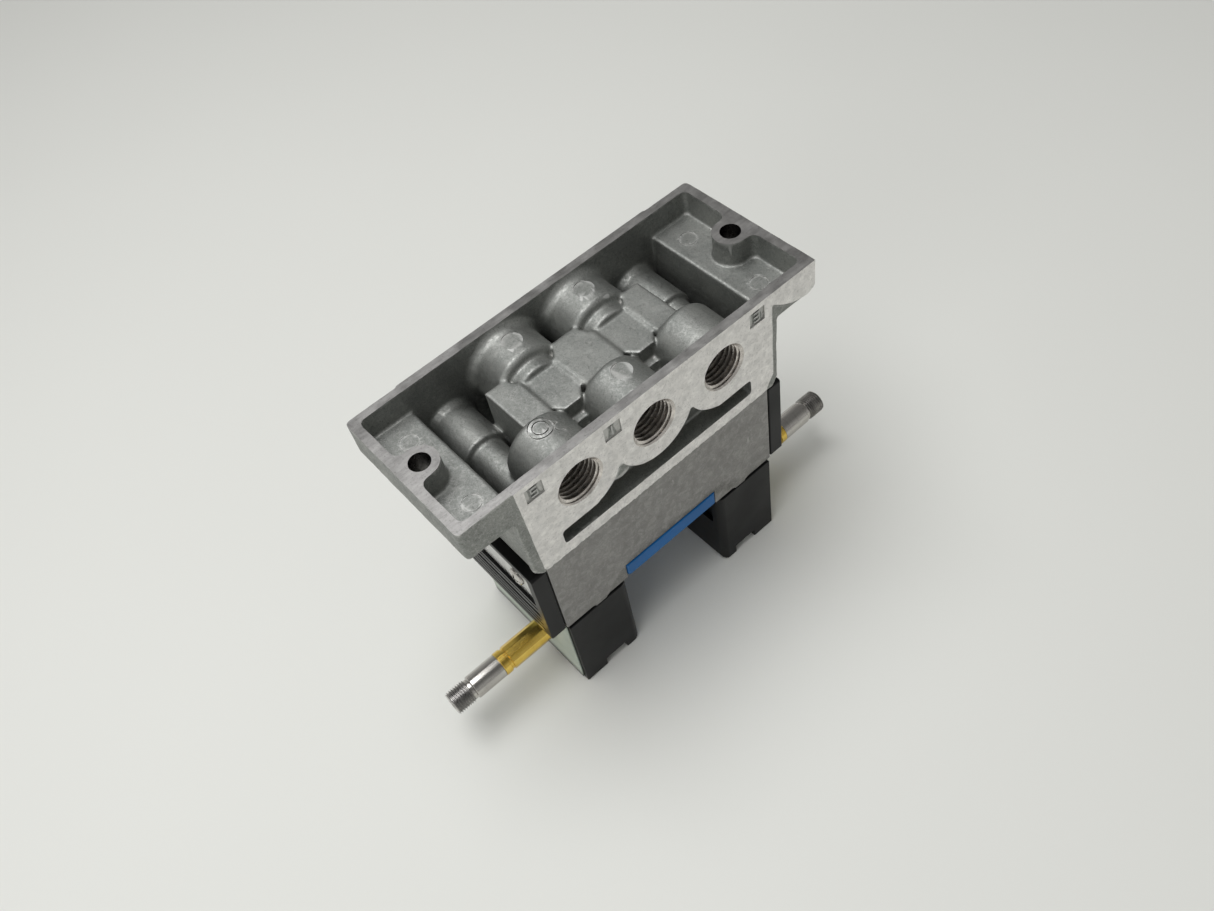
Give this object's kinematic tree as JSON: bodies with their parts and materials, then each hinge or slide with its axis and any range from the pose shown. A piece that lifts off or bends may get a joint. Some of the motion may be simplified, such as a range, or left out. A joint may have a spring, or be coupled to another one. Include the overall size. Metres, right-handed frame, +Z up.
{
  "type": "solenoid directional valve",
  "caption": "Double-pilot spool valve on a cast sub-base, with threaded ports on both faces and an armature tube at each end.",
  "frame": {"origin": "middle of the footprint, on the surface the two pilot heads stand on", "axes": "+X along the spool towards the right-hand armature tube, -Y out of the three-port face, +Z up towards the sub-base's open mounting face"},
  "size_m": [0.144, 0.046, 0.097],
  "materials": {
    "cast_aluminium": "die-cast aluminium, with milled rim and port faces",
    "body_metal": "bead-blasted aluminium, slightly warm and mottled",
    "black_plastic": "moulded glass-filled plastic, fine grain",
    "blue_plastic": "moulded plastic, semi-gloss",
    "pale_label": "satin label sheet, blank",
    "brass": "drawn and turned brass",
    "steel": "turned stainless steel",
    "bright_plate": "rolled bright sheet",
    "rubber": "moulded nitrile rubber",
    "spool_aluminium": "ground and anodised aluminium"
  },
  "bodies": {
    "valve": {"sub_base": "cast_aluminium", "valve_body": "body_metal", "base_gasket": "rubber", "cap_gasket_left": "rubber", "cap_gasket_right": "rubber", "head_gasket_left": "rubber", "head_gasket_right": "rubber", "blue_cover": "blue_plastic", "body_screw_1": "steel", "body_screw_2": "steel", "body_screw_3": "steel", "body_screw_4": "steel", "cap_screw_left_1": "steel", "cap_screw_left_2": "steel", "cap_screw_right_1": "steel", "cap_screw_right_2": "steel", "head_screw_left_1": "steel", "head_screw_left_2": "steel", "head_screw_right_1": "steel", "head_screw_right_2": "steel", "core_stop_left": "steel", "core_stop_right": "steel", "plunger_spring_left": "steel", "plunger_spring_right": "steel", "override_spring_left": "steel", "override_spring_right": "steel", "end_cap_left": "black_plastic", "end_cap_right": "black_plastic", "pilot_head_left": "black_plastic", "pilot_head_right": "black_plastic", "cap_plate_left": "bright_plate", "cap_plate_right": "bright_plate", "label_plate_left": "pale_label", "label_plate_right": "pale_label", "pilot_seat_left": "brass", "pilot_seat_right": "brass", "guide_tube_left": "brass", "guide_tube_right": "brass"},
    "spool_group": {"spool": "spool_aluminium", "spool_seal_1": "rubber", "spool_seal_2": "rubber", "spool_seal_3": "rubber", "spool_seal_4": "rubber", "spool_seal_5": "rubber", "spool_seal_6": "rubber", "piston_left": "black_plastic", "piston_right": "black_plastic", "piston_seal_left": "rubber", "piston_seal_right": "rubber"},
    "plunger_left_body": {"plunger_left": "steel", "plunger_seal_left": "rubber"},
    "override_left_body": {"override_button_left": "brass", "override_seal_left": "rubber"},
    "plunger_right_body": {"plunger_right": "steel", "plunger_seal_right": "rubber"},
    "override_right_body": {"override_button_right": "brass", "override_seal_right": "rubber"}
  },
  "joints": [
    {"name": "spool_slide", "type": "slide", "parent": "valve", "child": "spool_group", "axis": [1, 0, 0], "range_m": [0, 0.004]},
    {"name": "plunger_left_lift", "type": "slide", "parent": "valve", "child": "plunger_left_body", "axis": [-1, 0, 0], "range_m": [0, 0.0012], "stiffness_N_per_m": 300, "springref_m": -0.005, "deforming": ["plunger_spring_left"]},
    {"name": "override_left_press", "type": "slide", "parent": "valve", "child": "override_left_body", "axis": [0, 0, 1], "range_m": [0, 0.0012], "stiffness_N_per_m": 600, "springref_m": -0.003, "deforming": ["override_spring_left"]},
    {"name": "plunger_right_lift", "type": "slide", "parent": "valve", "child": "plunger_right_body", "axis": [1, 0, 0], "range_m": [0, 0.0012], "stiffness_N_per_m": 300, "springref_m": -0.005, "deforming": ["plunger_spring_right"]},
    {"name": "override_right_press", "type": "slide", "parent": "valve", "child": "override_right_body", "axis": [0, 0, 1], "range_m": [0, 0.0012], "stiffness_N_per_m": 600, "springref_m": -0.003, "deforming": ["override_spring_right"]}
  ]
}
